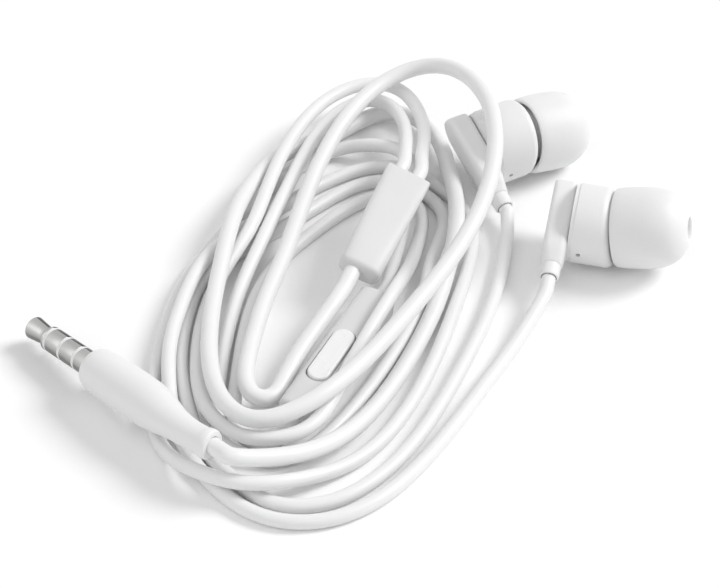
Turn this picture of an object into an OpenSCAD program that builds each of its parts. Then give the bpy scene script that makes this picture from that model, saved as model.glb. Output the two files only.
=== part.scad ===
// Wired in-ear earphones with a remote, gathered in one loose winding. Millimetres, +Z up.

/* [Earbud housing] */
// Outer diameter of the round housing
housing_d = 11.4; // [10.6:0.1:12]
// Length of the housing from the seam to its front
housing_l = 6.2; // [6:0.1:7]
// Wall of the housing
housing_wall = 0.9; // [0.7:0.05:1.1]
// Radius of the housing's rounded front edge
housing_edge = 1.3; // [0.6:0.1:1.6]
// Thickness of the rear plate that shows as the seam
seam_t = 0.5; // [0.4:0.05:0.7]
// Diameter of the small vent hole
vent_d = 0.7; // [0.4:0.1:1]

/* [Back bar] */
// Thickness of the bar behind the housing
bar_t = 3.4; // [3.2:0.1:4]
// Width of the bar
bar_w = 5.5; // [5:0.1:6.5]
// Reach of the bar above the housing's centre
bar_up = 6.5; // [5.6:0.1:7]
// Reach of the bar below the housing's centre, to the cord
bar_down = 8.4; // [8:0.1:9.4]
// Radius of the bar's rounded edges
bar_edge = 0.7; // [0.4:0.05:0.9]
// Length of the cord bushing that stands out of the bar
bushing_out = 2; // [1.2:0.1:2.6]

/* [Nozzle and ear tip] */
// Angle between the nozzle and the housing's axis
nozzle_tilt = 14; // [8:1:16]
// Lean of the housing's front face towards the nozzle's axis, in degrees
front_lean = 10; // [0:1:10]
// Outer diameter of the nozzle
nozzle_d = 5; // [4.6:0.1:5.2]
// Length of the nozzle, from inside the housing's front wall
nozzle_l = 7.6; // [7:0.1:8]
// Height of the lip that holds the ear tip
lip_h = 0.35; // [0.2:0.05:0.4]
// Sound bore of the nozzle
nozzle_bore = 3.4; // [3:0.1:3.6]
// Largest diameter of the ear tip
tip_d = 11.6; // [11:0.1:12.2]
// Length of the ear tip
tip_l = 10.3; // [10:0.1:11]
// Opening at the ear tip's front
tip_opening = 3.4; // [3:0.1:4]
// Thickness of the ear tip's skirt
tip_skin = 0.7; // [0.5:0.05:0.8]

/* [Speaker] */
// Outer diameter of the speaker's frame
driver_d = 9.5; // [9.3:0.1:9.5]
// Diameter of the yoke
yoke_d = 6.7; // [6.4:0.1:6.8]
// Diameter of the magnet
magnet_d = 4.6; // [4.2:0.1:4.8]
// Thickness of the diaphragm
diaphragm_t = 0.12; // [0.1:0.01:0.16]

/* [Remote] */
// Length of the remote
remote_l = 26.5; // [26:0.5:29]
// Width of the remote
remote_w = 5.3; // [5.2:0.1:5.6]
// Thickness of the remote
remote_h = 4.6; // [4.4:0.1:5]
// Length of the pill-shaped button
button_l = 10.8; // [9.5:0.1:11.5]
// Width of the button
button_w = 3.1; // [2.8:0.1:3.5]
// Height of the button above the shell
button_rise = 0.35; // [0.2:0.05:0.5]
// Travel of the button
button_travel = 0.25; // [0.15:0.05:0.3]
// Distance of the button from the middle, towards the lower end
button_shift = 2.25; // [0:0.25:3]

/* [Splitter] */
// Length of the splitter
splitter_l = 18.6; // [17:0.1:20]
// Width of the splitter
splitter_w = 6.6; // [6.2:0.1:7.2]
// Thickness of the splitter
splitter_h = 4.2; // [4:0.1:4.6]
// Distance between the two branch cords where they leave the splitter
branch_gap = 2.7; // [2.6:0.1:3.2]

/* [Plug] */
// Diameter of the plug's pin
pin_d = 3.5; // [3.5]
// Length of the pin
pin_l = 14; // [14]
// Width of each insulating ring
insulator_w = 0.5; // [0.4:0.05:0.6]
// Length of the moulded grip
grip_l = 24.9; // [24.2:0.1:25.6]
// Largest diameter of the grip
grip_d = 6.5; // [6:0.1:6.8]
// Diameter of the grip's collar at the cord
collar_d = 4.1; // [3.6:0.1:4.4]

/* [Cords] */
// Diameter of the main cord
main_d = 2.4; // [2.2:0.1:2.4]
// Diameter of the branch cords
branch_d = 2; // [1.8:0.1:2]
// Sides of a cord's section
cord_sides = 6; // [6:2:12]
// Rings between two points of a route
cord_steps = 2; // [1:1:3]

/* [Hidden] */
$fn = 48;
// Running gap of pieces that slide, and gap round pieces that are glued in
slide_gap = 0.05;
seat_gap = 0.02;
eps = 0.01;

// ---- Where each assembly lies -------------------------------------------------------------

// The middle of the two earbuds' footprint, which is the model's origin
footprint = [0.9, 0.705, 0];

// Seat and turn of each earbud: its own +X is the housing's axis and its -Y points to the cord
left_seat = [-10.8, 8.87, 6.025];
left_turn = [18, -6, 24];
right_seat = [1.1, -8.25, 6.03];
right_turn = [14, 3, -11];
left_tilt = -nozzle_tilt;
right_tilt = nozzle_tilt;

// The remote and the splitter lie along +X of their own frames, the plug's pin along +X
remote_seat = [-32.1, -33.3, 2.5];
remote_turn = [5, 0, 65];
splitter_seat = [-25.87, -10.2, 6.85];
splitter_turn = [14, -10, 67.7];
plug_seat = [-64.7, -37.1, 4.15];
plug_turn = [0, 5.99, 132.86];

function turned_x(a, p) = [p.x, p.y * cos(a) - p.z * sin(a), p.y * sin(a) + p.z * cos(a)];
function turned_y(a, p) = [p.x * cos(a) + p.z * sin(a), p.y, p.z * cos(a) - p.x * sin(a)];
function turned_z(a, p) = [p.x * cos(a) - p.y * sin(a), p.x * sin(a) + p.y * cos(a), p.z];
function turned(turn, p) = turned_z(turn.z, turned_y(turn.y, turned_x(turn.x, p)));
function placed(seat, turn, p) = seat + turned(turn, p);

module place(seat, turn) {
    translate(seat - footprint) rotate(turn) children();
}

// Turns a solid of revolution so that its axis runs along +X
module along_x() {
    rotate([0, 90, 0]) children();
}

module tube_x(from, to, outer, inner = 0) {
    along_x() translate([0, 0, from]) difference() {
        cylinder(h = to - from, r = outer);
        if (inner > 0) translate([0, 0, -eps]) cylinder(h = to - from + 2 * eps, r = inner);
    }
}

// ---- Earbud -------------------------------------------------------------------------------

housing_r = housing_d / 2;
cavity_r = housing_r - housing_wall;
front_t = 1.3;
front_spare = 0.1;
driver_r = min(driver_d / 2, cavity_r - slide_gap);
// Stack of the speaker along the housing's axis, from the rear
board_t = 0.25;
board_x = 0.95;
yoke_x = board_x + board_t;
yoke_t = 0.5;
magnet_x = yoke_x + yoke_t;
magnet_t = 1.2;
top_x = magnet_x + magnet_t;
top_t = 0.5;
frame_x = yoke_x + 0.4;
frame_floor = 0.5;
diaphragm_x = top_x + top_t + 0.55;
step_x = diaphragm_x + diaphragm_t;
yoke_r = yoke_d / 2;
yoke_wall = 0.4;
magnet_r = magnet_d / 2;
coil_gap = 0.15;
terminal_w = 2.4;
terminal_h = 4;
coil_wall = 0.25;
coil_r = magnet_r + coil_gap;
frame_wall = 0.55;
step_r = driver_r - 0.35;

// The front face's outline, from its middle back; it widens behind the rounded edge
module front_outline() {
    r = housing_r + front_spare;
    back = 2 * housing_l;
    polygon([[0, -back], [r + back / 2, -back], [r, -housing_edge], [0, -housing_edge]]);
    translate([0, -housing_edge]) square([r - housing_edge, housing_edge]);
    translate([r - housing_edge, -housing_edge]) circle(housing_edge);
}

// The drum, whose front face leans with the nozzle
module drum(tilt) {
    intersection() {
        tube_x(seam_t, housing_l + housing_r, housing_r);
        translate([housing_l, 0, 0]) rotate([0, -sign(tilt) * front_lean, 0])
            along_x() rotate_extrude() front_outline();
    }
}

// Where the nozzle's axis starts, and its stations measured from there
nozzle_x = housing_l - 1;
nozzle_start = 0.3;
bore_start = -0.8;
nozzle_r = nozzle_d / 2;
lip_r = nozzle_r + lip_h;
lip_from = nozzle_l - 1;
lip_to = nozzle_l - 0.4;
mesh_t = 0.25;
mesh_r = nozzle_bore / 2 + 0.35;
mesh_from = nozzle_l - mesh_t;
vent_x = seam_t + 1.2;

module on_nozzle(tilt) {
    translate([nozzle_x, 0, 0]) rotate([0, -tilt, 0]) children();
}

module housing(tilt) {
    color("white") difference() {
        union() {
            drum(tilt);
            on_nozzle(tilt) tube_x(nozzle_start, nozzle_l, nozzle_r);
            on_nozzle(tilt) tube_x(lip_from, lip_to, lip_r);
        }
        tube_x(seam_t - eps, step_x, cavity_r);
        tube_x(step_x - eps, housing_l - front_t, step_r);
        on_nozzle(tilt) tube_x(bore_start, mesh_from, nozzle_bore / 2);
        on_nozzle(tilt) tube_x(mesh_from - eps, nozzle_l + eps, mesh_r);
        translate([vent_x, 0, 0]) rotate([90, 0, 0]) cylinder(h = housing_r + 1, d = vent_d);
    }
}

module nozzle_mesh(tilt) {
    color("gray") on_nozzle(tilt) tube_x(mesh_from, nozzle_l - eps, mesh_r - seat_gap);
}

module rear_plate() {
    color("gainsboro") difference() {
        union() {
            tube_x(0, seam_t, housing_r - 0.15);
            tube_x(seam_t - eps, frame_x, driver_r);
        }
        tube_x(seam_t, frame_x + eps, driver_r - frame_wall);
        translate([0, wire_y, 0]) tube_x(-eps, seam_t + eps, wire_hole_r);
    }
}

module driver_frame() {
    color("dimgray") difference() {
        tube_x(frame_x, diaphragm_x, driver_r);
        tube_x(frame_x + frame_floor, diaphragm_x + eps, driver_r - frame_wall);
        tube_x(frame_x - eps, frame_x + frame_floor + eps, yoke_r + seat_gap);
    }
}

module yoke() {
    color("silver") difference() {
        tube_x(yoke_x, top_x + top_t, yoke_r);
        tube_x(magnet_x, top_x + top_t + eps, yoke_r - yoke_wall);
    }
}

module magnet() {
    color("slategray") tube_x(magnet_x, top_x, magnet_r);
}

module top_plate() {
    color("silver") tube_x(top_x, top_x + top_t, magnet_r);
}

module voice_coil() {
    color("peru") tube_x(top_x - 0.2, diaphragm_x, coil_r + coil_wall, coil_r);
}

module diaphragm() {
    color("khaki") tube_x(diaphragm_x, step_x, driver_r);
}

module terminal_board() {
    color("darkgreen") translate([board_x, -terminal_w / 2, -terminal_h / 2])
        cube([board_t, terminal_w, terminal_h]);
}

// The wires' bore along the bar and through the rear plate
bar_mid = -bar_t / 2;
wire_r = 0.35;
wire_hole_r = 0.6;
wire_y = -0.6;
bushing_r = 1.45;
bushing_in = 3;
exit_y = -bar_down - bushing_out;

module rounded_disc(r, t, edge) {
    rotate_extrude($fn = 32) {
        square([r - edge, t]);
        translate([0, edge]) square([r, t - 2 * edge]);
        for (z = [edge, t - edge]) translate([r - edge, z]) circle(edge, $fn = 16);
    }
}

module back_bar() {
    color("white") difference() {
        hull() {
            for (y = [bar_up - bar_w / 2, bar_w / 2 - bar_down])
                translate([-bar_t, y, 0]) along_x() rounded_disc(bar_w / 2, bar_t, bar_edge);
        }
        translate([bar_mid, wire_y + wire_hole_r, 0]) rotate([90, 0, 0])
            cylinder(h = bar_down, r = wire_hole_r);
        translate([bar_mid, -bar_down + bushing_in, 0]) rotate([90, 0, 0])
            cylinder(h = bushing_in + 1, r = bushing_r + seat_gap);
        translate([0, wire_y, 0]) tube_x(bar_mid - wire_hole_r, eps, wire_hole_r);
    }
}

// Strain relief: a plain barrel in the bar and a slimmer neck that the cord meets
module stem_bushing() {
    neck_r = bushing_r - 0.05;
    color("whitesmoke") translate([bar_mid, 0, 0]) rotate([90, 0, 0]) difference() {
        union() {
            translate([0, 0, bar_down - bushing_in]) cylinder(h = bushing_in, r = bushing_r);
            translate([0, 0, bar_down - eps])
                cylinder(h = bushing_out + eps, r1 = neck_r, r2 = neck_r - 0.05);
        }
        translate([0, 0, bar_down - bushing_in - 1]) cylinder(h = bushing_in + 2, r = wire_hole_r);
    }
}

module inner_wires() {
    color("goldenrod") difference() {
        union() {
            translate([bar_mid, wire_y, 0]) rotate([90, 0, 0])
                cylinder(h = bar_down + wire_y + bushing_out - 1, r = wire_r);
            translate([bar_mid, wire_y, 0]) sphere(wire_r);
            translate([0, wire_y, 0]) tube_x(bar_mid, board_x, wire_r);
        }
    }
}

// ---- Ear tip: a dome of silicone on a tube that grips the nozzle's lip ----------------------

tip_r = tip_d / 2;
tip_from = 1.6;
tip_to = tip_from + tip_l;
tip_shoulder = tip_from + 3.1;
tip_rim_r = tip_r - 0.3;
tip_power = 3;
tip_spare = 1.04;
grip_r = lip_r + slide_gap;
grip_wall = 0.8;
grip_from = tip_from + 0.4;
grip_to = nozzle_l + 0.5;
dome_reach = (tip_to - tip_shoulder) * tip_spare;

function dome_r(s, inset) =
    let (u = max(0, s - tip_shoulder) / (dome_reach - inset))
    (tip_r - inset) * pow(max(0, 1 - pow(u, tip_power)), 0.5);

module tip_outline(inset, from, to) {
    steps = 18;
    polygon([
        [0, from], [tip_rim_r - inset, from], [tip_r - inset - 0.08, (from + tip_shoulder) / 2],
        for (i = [0:steps]) let (s = tip_shoulder + (to - tip_shoulder) * i / steps) [dome_r(s, inset), s],
        [0, to]
    ]);
}

module ear_tip(tilt) {
    skirt_to = tip_to - 2.4;
    color("white") on_nozzle(tilt) along_x() rotate_extrude() difference() {
        tip_outline(0, tip_from, tip_to);
        difference() {
            tip_outline(tip_skin, tip_from - eps, skirt_to);
            translate([0, grip_from]) square([grip_r + grip_wall, tip_l]);
        }
        translate([0, tip_from - 1]) square([grip_r, grip_to - tip_from + 1]);
        translate([0, tip_from - 1]) square([tip_opening / 2, tip_l + 2]);
    }
}

// ---- Remote ---------------------------------------------------------------------------------

remote_edge = 1.4;
remote_ease_low = 0.8;
remote_ease_high = 0.7;
shell_wall = 0.7;
end_wall = 3;
board_end_gap = 0.5;
mic_in = 5;
mic_hole_d = 0.6;
mic_w = 2;
mic_h = 0.9;
split_z = 0.4;
button_z = remote_h / 2;
button_deep = 1.4;
board_z = -0.3;
switch_h = 0.55;
collar_l = 1.2;
collar_in = 2.8;
collar_bore_in = 4;
collar_out = collar_l - 1;
collar_r = branch_d / 2 + 0.35;

module pill(l, w, h) {
    translate([-(l - w) / 2, 0, 0]) cylinder(h = h, d = w);
    translate([(l - w) / 2, 0, 0]) cylinder(h = h, d = w);
    translate([-(l - w) / 2, -w / 2, 0]) cube([l - w, w, h]);
}

// A thin slice of a bar's rounded section, at x
slice_t = 0.1;
module slice(x, w, h, edge) {
    e = min(edge, h / 2 - 0.1);
    translate([x, 0, 0]) rotate([90, 0, 90]) linear_extrude(slice_t) offset(r = e, $fn = 32)
        square([w - 2 * e, h - 2 * e], center = true);
}

// A bar along +X with rounded long edges and eased ends; edge_high rounds the upper end's
// section, and low_share narrows the lower end
module eased_bar(l, w, h, edge, edge_high, ease_low, ease_high, low_share = 1) {
    low_w = w * low_share;
    low_h = h * low_share;
    hull() {
        slice(-l / 2, low_w - 2 * ease_low, low_h - 2 * ease_low, edge);
        slice(-l / 2 + ease_low, low_w, low_h, edge);
        slice(l / 2 - ease_high - slice_t, w, h, edge_high);
        slice(l / 2 - slice_t, w - 2 * ease_high, h - 2 * ease_high, edge_high);
    }
}

module remote_blank() {
    eased_bar(remote_l, remote_w, remote_h, remote_edge, remote_edge, remote_ease_low, remote_ease_high);
}

module remote_cavity() {
    inner_l = remote_l - 2 * end_wall;
    translate([-inner_l / 2, -remote_w / 2 + shell_wall, -remote_h / 2 + shell_wall])
        cube([inner_l, remote_w - 2 * shell_wall, remote_h - 2 * shell_wall]);
}

module remote_half(upper) {
    from = upper ? split_z : -remote_h;
    difference() {
        remote_blank();
        remote_cavity();
        translate([-remote_l, -remote_w, upper ? -remote_h : split_z])
            cube([2 * remote_l, 2 * remote_w, upper ? remote_h + split_z : remote_h]);
        for (side = [-1, 1]) translate([side * remote_l / 2, 0, 0]) rotate([0, 90, 0])
            cylinder(h = 2 * collar_bore_in, r = collar_r + seat_gap, center = true);
        if (upper) {
            translate([-button_shift, 0, 0]) pill(button_l + 0.4, button_w + 0.4, remote_h);
            translate([remote_l / 2 - mic_in, 0, 0]) cylinder(h = remote_h, d = mic_hole_d);
        }
    }
}

module remote_front_shell() {
    color("white") remote_half(true);
}

module remote_back_shell() {
    color("white") remote_half(false);
}

module remote_circuit_board() {
    l = remote_l - 2 * (end_wall + board_end_gap);
    w = remote_w - 2 * shell_wall - 2 * slide_gap;
    color("darkgreen") translate([-l / 2, -w / 2, board_z - 0.5]) cube([l, w, 0.5]);
    color("darkgreen") for (x = [-l / 2 + 1, l / 2 - 2])
        translate([x, -w / 2 + 0.3, -remote_h / 2 + shell_wall])
            cube([1, w - 0.6, board_z - 0.5 + remote_h / 2 - shell_wall]);
}

module remote_dome_switch() {
    color("silver") translate([-button_shift - 1.3, -1.2, board_z]) cube([2.6, 2.4, switch_h]);
}

module remote_microphone() {
    color("gold") translate([remote_l / 2 - mic_in - mic_w / 2, -mic_w / 2, board_z])
        cube([mic_w, mic_w, mic_h]);
}

// The cap, its flange inside the shell and the stem over the switch
module remote_button() {
    flange = 0.35;
    flange_w = min(button_w + 0.6, remote_w - 2 * shell_wall - 0.2);
    top = button_z + button_rise;
    stem_z = board_z + switch_h + 0.3;
    flange_z = button_z - shell_wall - flange - slide_gap;
    color("white") translate([-button_shift, 0, 0]) {
        translate([0, 0, flange_z + flange - eps]) pill(button_l, button_w, top - flange_z - flange);
        translate([0, 0, flange_z]) pill(button_l + 1, flange_w, flange);
        translate([0, 0, stem_z]) cylinder(h = flange_z - stem_z + eps, r = 0.7);
    }
}

module remote_cord_collars() {
    color("whitesmoke") for (side = [-1, 1]) rotate([0, side * 90, 0])
        translate([0, 0, remote_l / 2 - collar_in]) cylinder(h = collar_in + collar_out, r = collar_r);
}

// ---- Splitter ---------------------------------------------------------------------------------

splitter_edge = 1.5;
splitter_edge_high = 0.6;
splitter_ease_low = 0.9;
splitter_ease_high = 0.2;
splitter_low_share = 0.92;
// The main cord leaves the lower end a little to the left of its middle
main_exit_y = 0.7;
crimp_l = 6;
crimp_r = 1.3;

module splitter_shell() {
    color("white") difference() {
        eased_bar(
            splitter_l, splitter_w, splitter_h, splitter_edge, splitter_edge_high,
            splitter_ease_low, splitter_ease_high, splitter_low_share
        );
        tube_x(-crimp_l / 2, crimp_l / 2, crimp_r + seat_gap);
    }
}

module splitter_crimp() {
    color("silver") tube_x(-crimp_l / 2 + seat_gap, crimp_l / 2 - seat_gap, crimp_r);
}

// ---- Plug: four contacts round one insulated core ------------------------------------------------

pin_r = pin_d / 2;
core_r = 0.85;
rod_r = 0.4;
tip_contact_l = 5.1;
ring_pitch = 3.15;
contact_1 = pin_l - tip_contact_l;
contact_2 = contact_1 - ring_pitch;
contact_3 = contact_2 - ring_pitch;
insulator_stations = [contact_1, contact_2, contact_3];
core_back = -3;
half_ring = insulator_w / 2;
// The sleeve inside the grip, and the flange that holds it there
sleeve_back = -1.2;
sleeve_r = 1.3;
sleeve_flange = -0.4;
sleeve_flange_r = 2.2;

module plug_tip() {
    neck_r = pin_r * 0.76;
    flare_r = pin_r * 0.93;
    color("silver") along_x() union() {
        rotate_extrude() polygon([
            [0, contact_1 + half_ring], [pin_r, contact_1 + half_ring], [pin_r, contact_1 + 0.6],
            [neck_r, contact_1 + 1.2], [neck_r, contact_1 + 1.6],
            [flare_r, pin_l - 0.9], [flare_r - 0.1, pin_l - 0.65], [flare_r * 0.6, pin_l - 0.2],
            [0.35, pin_l], [0, pin_l]
        ]);
        translate([0, 0, core_back - 2]) cylinder(h = contact_1 - core_back + 3, r = rod_r);
    }
}

module plug_ring_1() {
    color("silver") tube_x(contact_2 + half_ring, contact_1 - half_ring, pin_r, core_r + seat_gap);
}

module plug_ring_2() {
    color("silver") tube_x(contact_3 + half_ring, contact_2 - half_ring, pin_r, core_r + seat_gap);
}

module plug_sleeve() {
    color("silver") difference() {
        union() {
            tube_x(0, contact_3 - half_ring, pin_r);
            tube_x(sleeve_back, eps, sleeve_r);
            tube_x(sleeve_back, sleeve_flange, sleeve_flange_r);
        }
        tube_x(-2, contact_3, core_r + seat_gap);
    }
}

module plug_insulators() {
    color("ivory") difference() {
        union() {
            tube_x(core_back, contact_1, core_r);
            for (x = insulator_stations) tube_x(x - half_ring, x + half_ring, pin_r);
        }
        tube_x(core_back - 1, contact_1 + 1, rod_r + seat_gap);
    }
}

mould_back = -0.44 * grip_l;
mould_r = 2.4;

module plug_inner_mould() {
    color("ivory") difference() {
        tube_x(mould_back, sleeve_back - seat_gap, mould_r);
        tube_x(core_back - 0.02, 0, core_r + seat_gap);
        tube_x(core_back - 2.02, 0, rod_r + seat_gap);
    }
}

collar_r_plug = collar_d / 2;
collar_end_l = 1.4;
// The grip's profile behind its face: share of its length, and share of its largest radius
grip_profile = [
    [0, 0.75], [0.015, 0.86], [0.045, 0.93], [0.1, 0.97], [0.2, 1], [0.36, 1], [0.46, 0.98],
    [0.54, 0.94], [0.6, 0.86], [0.66, 0.76], [0.72, 0.67], [0.79, 0.62], [0.9, 0.6]
];

module plug_overmould() {
    widest = grip_d / 2;
    color("white") difference() {
        along_x() rotate_extrude() polygon([
            [0, 0],
            for (p = grip_profile) [widest * p.y, -grip_l * p.x],
            [collar_r_plug - 0.1, collar_end_l + 0.1 - grip_l],
            [collar_r_plug, collar_end_l - grip_l], [collar_r_plug, 0.2 - grip_l],
            [collar_r_plug - 0.2, -grip_l], [0, -grip_l]
        ]);
        tube_x(sleeve_back, 1, sleeve_r + seat_gap);
        tube_x(sleeve_back - seat_gap, sleeve_flange + seat_gap, sleeve_flange_r + seat_gap);
        tube_x(mould_back - seat_gap, sleeve_back, mould_r + seat_gap);
    }
}

// ---- Cords: each run is one tube along its own route ------------------------------------------------

// Points of each route, from the end it leaves to the end it reaches, without the ends themselves
main_route = [
    [-32.3, -24, 4.8], [-33.8, -26.4, 4.1], [-35.3, -29, 3.5], [-36.8, -31.7, 3],
    [-38.6, -35.7, 2.3], [-39.4, -38, 2],
    // the tight bend beside the remote
    [-40.1, -40.1, 1.9], [-41.6, -41.4, 2], [-43.6, -40.9, 2.5], [-44.35, -38.9, 3], [-44.3, -36.2, 3.4],
    [-43.9, -32.8, 3.6], [-43.3, -29.2, 3.7],
    // up the left side and over the left earbud
    [-42.2, -23, 4], [-40.2, -16, 4.2], [-38.8, -10, 4.5], [-37, -1.5, 5], [-35, 6, 5.8],
    [-32, 14, 6.8], [-28, 21, 7.5], [-23, 25.6, 8.2], [-17.2, 25.8, 9.8], [-12.6, 19.8, 11.8],
    [-10.1, 10.1, 13.9], [-9.7, 5.5, 13.7], [-9.5, 1.1, 12.6], [-10.6, -6.5, 11.3],
    // down the right side and round the bottom
    [-13.4, -14.8, 10.3], [-17.3, -22.3, 9.1], [-22, -29.5, 8], [-27.7, -38.4, 7.2],
    [-33, -45.5, 7.3], [-38, -48.9, 6.5], [-42.5, -50, 5.9], [-46.3, -47.2, 5.5],
    // second turn, up the left side
    [-48.6, -41, 4.6], [-49.6, -33, 3.9], [-49.4, -24, 4], [-48.6, -17, 4.4],
    [-47.9, -11.5, 5.2], [-47.2, -7, 5.3], [-46.4, -2.5, 5], [-44.5, 4, 4], [-42, 10.5, 2.8],
    [-38.2, 15.4, 1.8], [-33, 18.2, 1.5], [-28.6, 22.6, 1.5], [-24.2, 25.3, 1.5],
    // down the right side to the plug
    [-18.7, 21.2, 2], [-16.4, 13.8, 2.3], [-16.1, 8.6, 2.8], [-15.3, 3.4, 3.8], [-14.9, -3, 3.8],
    [-15.6, -10, 3.1], [-16.9, -15.7, 2.2], [-18.4, -21.8, 1.6], [-21.1, -29.5, 1.4],
    [-24.3, -37.2, 1.3], [-28.1, -44.5, 1.6], [-32.5, -51, 3], [-37.3, -54.5, 4.3],
    [-41.7, -56.6, 5.8]
];
left_route = [
    [-22.4, 7.4, 7.2], [-22, 12.5, 6], [-22.8, 19, 5], [-25.3, 23.5, 4.4], [-29, 24, 4.1],
    [-32.5, 20.8, 4.1], [-35.3, 16.1, 4], [-37.6, 9.7, 3.9], [-39.6, 2.6, 3.8], [-41.3, -3, 3.6],
    [-43, -9, 3.1], [-44.9, -14.6, 2.2], [-46.3, -20.2, 1.7], [-47.3, -27, 1.3],
    [-47.9, -34, 1.1], [-48.2, -41, 1], [-47.9, -46.4, 1], [-45.4, -50.6, 1],
    // round the bottom and up the right side
    [-41.3, -52.3, 1], [-37.5, -51.4, 1], [-34, -48.4, 1], [-31.2, -44.2, 1], [-28.3, -39.2, 1],
    [-25.3, -33, 1], [-21.9, -25.2, 1], [-20, -17.8, 1], [-19, -11.1, 1], [-17.4, -6.1, 1],
    [-16.5, -1.5, 1], [-17.6, 2.5, 1],
    // across under the splitter and down the left side
    [-20.9, 6.1, 1], [-25.3, 8.5, 1], [-30.5, 6.4, 1], [-35.2, 1.8, 1], [-39, -2.2, 1],
    [-42.6, -5.4, 1], [-46.5, -9.1, 1], [-50, -12.4, 1], [-51.9, -16.8, 1], [-53, -22.5, 1],
    [-53.6, -29.5, 1], [-53.3, -36, 1], [-51.9, -41.5, 1], [-50.7, -46.7, 1], [-48.5, -51.6, 1],
    // round the bottom to the left earbud
    [-45.2, -55.8, 1], [-42, -59.2, 1], [-38.3, -60.6, 1], [-34, -60.3, 1], [-29.8, -58.2, 1],
    [-25.8, -54.4, 1], [-22, -49, 1], [-18.3, -41.5, 1], [-14.7, -32.5, 1], [-11.5, -23.8, 1],
    [-9.6, -16.6, 1], [-8.5, -10.5, 1], [-7.8, -5.8, 1.1]
];
right_upper_route = [
    [-20.1, 6.6, 6.9], [-19.3, 11.6, 5.9], [-19.9, 19.3, 5.4], [-22.4, 25.3, 5.2],
    [-26.7, 27.2, 5.2], [-31, 25.6, 5.2], [-34.9, 21.8, 5.2], [-38.1, 16, 5.2], [-40.5, 9, 5.1],
    [-42.1, 2.8, 5], [-43.3, -3, 4.7], [-44.7, -7.5, 3.9], [-46.7, -11.2, 2.9],
    [-48.8, -15.2, 1.6], [-50.3, -20.4, 1.2], [-51.2, -27, 1.2], [-51.2, -33.7, 1.4],
    [-50.6, -39.4, 2.2], [-49.2, -45.2, 3.2],
    // round the bottom and past the remote
    [-45.2, -50.2, 3.5], [-40.8, -51.2, 4], [-36.8, -50.3, 4.1], [-33.8, -47.2, 4.4],
    [-32, -42.2, 4.9], [-29.6, -35.8, 5], [-27.7, -31.3, 5.5], [-25.2, -25.6, 6],
    [-23.3, -20, 5.1], [-22, -13.3, 1.7], [-20.8, -7.5, 1], [-19.7, -2, 1],
    // across under the splitter and down the left side
    [-20.7, 3, 1], [-23.9, 4.5, 1], [-27.8, 3.8, 1], [-31.9, 0.2, 1], [-35.9, -4.5, 1],
    [-39.3, -9, 1], [-42, -13.6, 1], [-43.9, -19.5, 1], [-44.9, -25.9, 1], [-45.4, -32.2, 1],
    // the small bend into the remote's lower end
    [-45.7, -37, 1], [-45.9, -41.3, 1], [-45.6, -45, 1], [-44.4, -48, 1], [-42.1, -49.8, 1.2],
    [-40.2, -49.9, 1.8]
];
right_lower_route = [
    [-24.7, -14.6, 1.9], [-23.7, -9.5, 2], [-22.6, -3.6, 2.9], [-21.5, 1.4, 3.4], [-20.8, 5.9, 3.5],
    [-21.3, 9.8, 3.5], [-23.6, 12.9, 3.5], [-27.8, 14.4, 2.9], [-32.3, 15.2, 1.5],
    // down the left side, outermost
    [-37.2, 12.2, 1], [-42, 7, 1], [-45.8, 0.8, 1], [-49.2, -5.2, 1], [-52, -11, 1],
    [-54.2, -16.7, 1], [-55.6, -23.5, 1], [-56.4, -30, 1], [-57, -37, 1], [-56.8, -43.5, 1],
    [-55.4, -49.4, 1.1],
    // round the bottom and up the right side
    [-52.4, -54.1, 2.3], [-48.6, -57.3, 3.5], [-44.5, -59, 3.6], [-40.4, -58.7, 3.4],
    [-36.5, -56.9, 2.4], [-32.2, -54.3, 1.3], [-28.3, -51.1, 1], [-24.6, -46.1, 1],
    [-21.2, -38.9, 1], [-18.1, -30.1, 1], [-15.4, -19.9, 1], [-13.4, -11.8, 1],
    [-12.4, -5.2, 1], [-13.2, 0.6, 1], [-15.8, 4.4, 1],
    // across the top and down the left side again, on the turns below
    [-18.4, 7.2, 1], [-21.4, 10.6, 1], [-25.5, 11.7, 1], [-30.5, 10.1, 1], [-35.4, 6.6, 1],
    [-40.1, 1.9, 1], [-43.7, -2.2, 1.6], [-47.1, -6.4, 2.3], [-50.2, -11.2, 3.1],
    [-52.4, -17, 3.3], [-53.8, -23.5, 3.2], [-54.9, -30, 3.1], [-54.9, -36, 2.8],
    [-54.2, -42, 1.6], [-53, -47.2, 1], [-50.8, -52.3, 1],
    // round the bottom to the right earbud
    [-47.6, -57.2, 1], [-44, -61, 1], [-39.7, -63.2, 1], [-34.7, -63.5, 1], [-29.8, -61.8, 1],
    [-25, -58, 1], [-20.5, -52, 1], [-16.3, -45, 1], [-12.3, -37.3, 1], [-8, -29.7, 1]
];

// A cord's end: where it meets a piece, and three points straight out of it
function lead(seat, turn, at, out, reach) = [
    for (i = [0:3]) placed(seat, turn, at + i * reach * out)
];
function backwards(list) = [for (i = [len(list) - 1:-1:0]) list[i]];

function bud_end(seat, turn) = lead(seat, turn, [bar_mid, exit_y, 0], [0, -1, 0], branch_d / 2);
function remote_end(side) =
    lead(remote_seat, remote_turn, [side * (remote_l / 2 + collar_out), 0, 0], [side, 0, 0], branch_d / 2);
function branch_end(y) = lead(splitter_seat, splitter_turn, [splitter_l / 2, y, 0], [1, 0, 0], branch_d / 2);
splitter_low_end = lead(
    splitter_seat, splitter_turn, [-splitter_l / 2, main_exit_y, 0], [-1, 0, 0], main_d / 2
);
plug_end = lead(plug_seat, plug_turn, [-grip_l, 0, 0], [-1, 0, 0], main_d / 2);

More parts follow.
